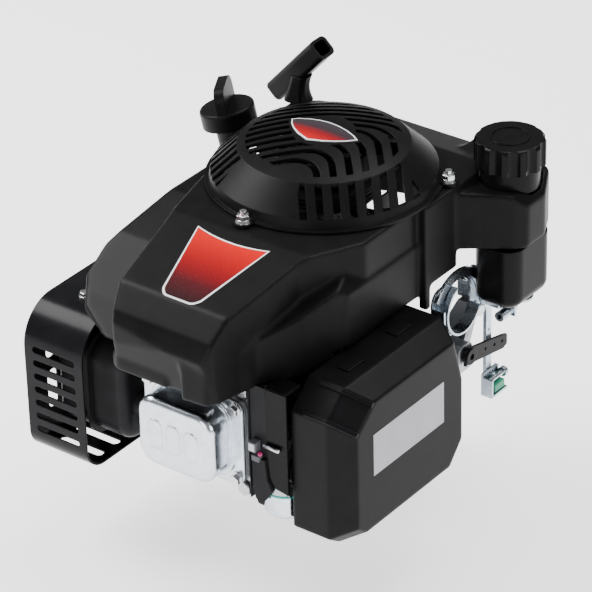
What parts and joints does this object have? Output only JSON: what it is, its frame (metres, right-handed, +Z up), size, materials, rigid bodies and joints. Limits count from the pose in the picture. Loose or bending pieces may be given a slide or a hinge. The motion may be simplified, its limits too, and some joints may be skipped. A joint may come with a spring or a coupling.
{
  "type": "vertical-shaft petrol engine",
  "caption": "Air-cooled overhead-valve mower engine with upright crankshaft, domed rope starter, side air cleaner and guarded silencer.",
  "frame": {"origin": "centre of the sump mounting face on the crankshaft axis", "axes": "+Z up along the crankshaft, -Y towards the cylinder head and valve cover, +X towards the carburettor and air cleaner, -X towards the silencer"},
  "size_m": [0.325, 0.389, 0.3878],
  "materials": {
    "base_plastic": "gloss",
    "bowl_zinc": "pale zinc",
    "cap_plastic": "gloss",
    "carburettor_alloy": "die cast",
    "ceramic": "glazed",
    "coil_plastic": "potted",
    "control_black": "black",
    "cover_plastic": "satin grain",
    "die_cast_aluminium": "as cast, satin",
    "fastener_zinc": "bright zinc plated",
    "gasket": "matt",
    "guard_black": "satin black",
    "handle_plastic": "satin",
    "heat_black": "heat resistant black",
    "inner_plastic": "moulded",
    "insulator_resin": "rough",
    "iron": "machined",
    "lead_rubber": "satin",
    "paper": "pleated paper",
    "pressed_cover": "bright zinc plated, pressed",
    "rope": "braided",
    "seal": "matt",
    "shroud_plastic": "fine grain",
    "steel": "ground",
    "tank_plastic": "semi gloss",
    "zinc_steel": "bright zinc plated"
  },
  "bodies": {
    "engine": {"sump": "die_cast_aluminium", "oil_drain_plug": "zinc_steel", "casting_gaskets": "gasket", "crankcase": "die_cast_aluminium", "cylinder_liner": "iron", "crank_oil_seals": "seal", "cylinder_head": "die_cast_aluminium", "head_bolts": "steel", "valve_cover_gasket": "gasket", "valve_cover": "pressed_cover", "flange_bolts": "fastener_zinc", "studs": "fastener_zinc", "rocker_shaft": "steel", "blower_housing": "shroud_plastic", "starter_cover": "shroud_plastic", "starter_nuts": "fastener_zinc", "recoil_spring": "steel", "ignition_coil": "coil_plastic", "ignition_lead": "lead_rubber", "spark_plug": "ceramic", "plug_boot": "lead_rubber", "muffler": "heat_black", "muffler_guard": "guard_black", "carburettor_insulator": "insulator_resin", "carburettor": "carburettor_alloy", "float_bowl": "bowl_zinc", "air_cleaner_base": "base_plastic", "fuel_tank": "tank_plastic", "oil_filler_tube": "inner_plastic", "control_bracket": "zinc_steel"},
    "crank": {"crankshaft": "steel", "crank_gear": "steel", "flywheel": "die_cast_aluminium", "cooling_fan": "inner_plastic", "starter_cup": "steel"},
    "cam": {"camshaft": "iron"},
    "piston": {"piston": "die_cast_aluminium", "piston_rings": "iron", "wrist_pin": "steel", "connecting_rod": "die_cast_aluminium", "crank_pin": "steel"},
    "intake_valve": {"intake_valve": "steel"},
    "exhaust_valve": {"exhaust_valve": "steel"},
    "intake_rocker": {"intake_rocker": "steel"},
    "exhaust_rocker": {"exhaust_rocker": "steel"},
    "intake_pushrod": {"intake_pushrod": "steel"},
    "exhaust_pushrod": {"exhaust_pushrod": "steel"},
    "starter_reel": {"starter_reel": "inner_plastic"},
    "starter_handle": {"starter_handle": "handle_plastic", "starter_rope": "rope"},
    "fuel_cap_seal": {"fuel_cap_seal": "seal"},
    "fuel_cap": {"fuel_cap": "cap_plastic"},
    "dipstick_seal": {"dipstick_seal": "seal"},
    "dipstick": {"dipstick": "handle_plastic"},
    "air_cleaner_cover": {"air_cleaner_cover": "cover_plastic", "air_filter": "paper"},
    "throttle_valve": {"throttle_valve": "zinc_steel"},
    "choke_valve": {"choke_valve": "zinc_steel"},
    "brake_lever": {"brake_lever": "zinc_steel"},
    "governor_arm": {"governor_arm": "control_black"}
  },
  "joints": [
    {"name": "crank_spin", "type": "hinge", "parent": "engine", "child": "crank", "pos_m": [0, 0, 0.08], "axis": [0, 0, 1], "continuous": true},
    {"name": "cam_spin", "type": "hinge", "parent": "engine", "child": "cam", "pos_m": [-0.05, 0.03317, 0.08], "axis": [0, 0, 1], "continuous": true},
    {"name": "piston_slide", "type": "slide", "parent": "engine", "child": "piston", "axis": [0, 1, 0], "range_m": [0, 0.051]},
    {"name": "intake_rocker_swing", "type": "hinge", "parent": "engine", "child": "intake_rocker", "pos_m": [-0.014, -0.196, 0.098], "axis": [0, 0, 1], "range_deg": [0, 13]},
    {"name": "intake_valve_lift", "type": "slide", "parent": "engine", "child": "intake_valve", "axis": [0, 1, 0], "range_m": [0, 0.005]},
    {"name": "intake_pushrod_lift", "type": "slide", "parent": "engine", "child": "intake_pushrod", "axis": [0, -1, 0], "range_m": [0, 0.005]},
    {"name": "exhaust_rocker_swing", "type": "hinge", "parent": "engine", "child": "exhaust_rocker", "pos_m": [-0.014, -0.196, 0.062], "axis": [0, 0, 1], "range_deg": [0, 13]},
    {"name": "exhaust_valve_lift", "type": "slide", "parent": "engine", "child": "exhaust_valve", "axis": [0, 1, 0], "range_m": [0, 0.005]},
    {"name": "exhaust_pushrod_lift", "type": "slide", "parent": "engine", "child": "exhaust_pushrod", "axis": [0, -1, 0], "range_m": [0, 0.005]},
    {"name": "rope_pull", "type": "slide", "parent": "engine", "child": "starter_handle", "axis": [0, 0, 1], "range_m": [0, 0.095]},
    {"name": "reel_spin", "type": "hinge", "parent": "engine", "child": "starter_reel", "pos_m": [0, 0, 0.23], "axis": [0, 0, 1], "range_deg": [-130, 0]},
    {"name": "fuel_cap_lift", "type": "slide", "parent": "engine", "child": "fuel_cap_seal", "axis": [0, 0, 1], "range_m": [0, 0.06]},
    {"name": "fuel_cap_turn", "type": "hinge", "parent": "fuel_cap_seal", "child": "fuel_cap", "pos_m": [0.121, 0.101, 0.25], "axis": [0, 0, 1], "range_deg": [0, 120]},
    {"name": "dipstick_draw", "type": "slide", "parent": "engine", "child": "dipstick_seal", "axis": [-0.1945, -0.0486, 0.9797], "range_m": [0, 0.175]},
    {"name": "dipstick_turn", "type": "hinge", "parent": "dipstick_seal", "child": "dipstick", "pos_m": [-0.125, 0.031, 0.236], "axis": [-0.1945, -0.0486, 0.9797], "continuous": true},
    {"name": "air_cleaner_cover_pull", "type": "slide", "parent": "engine", "child": "air_cleaner_cover", "axis": [1, 0, 0], "range_m": [0, 0.06]},
    {"name": "throttle_turn", "type": "hinge", "parent": "engine", "child": "throttle_valve", "pos_m": [0.066, -0.16, 0.064], "axis": [0, 0, 1], "range_deg": [0, 50]},
    {"name": "choke_turn", "type": "hinge", "parent": "engine", "child": "choke_valve", "pos_m": [0.079, -0.16, 0.064], "axis": [0, 0, 1], "range_deg": [0, 45]},
    {"name": "governor_swing", "type": "hinge", "parent": "engine", "child": "governor_arm", "pos_m": [0.106, 0.06, 0.066], "axis": [1, 0, 0], "range_deg": [-8, 8]},
    {"name": "brake_lever_swing", "type": "hinge", "parent": "engine", "child": "brake_lever", "pos_m": [0.102, 0.096, 0.104], "axis": [1, 0, 0], "range_deg": [-5, 0], "stiffness_Nm_per_rad": 0.8, "springref_deg": 20.05}
  ],
  "couplings": [
    {"joint": "cam_spin", "follows": "crank_spin", "ratio": -0.5},
    {"joint": "reel_spin", "follows": "rope_pull", "rad_per_m": -22.936},
    {"joint": "intake_valve_lift", "follows": "intake_rocker_swing", "m_per_rad": 0.022},
    {"joint": "intake_pushrod_lift", "follows": "intake_rocker_swing", "m_per_rad": 0.022},
    {"joint": "exhaust_valve_lift", "follows": "exhaust_rocker_swing", "m_per_rad": 0.022},
    {"joint": "exhaust_pushrod_lift", "follows": "exhaust_rocker_swing", "m_per_rad": 0.022}
  ]
}
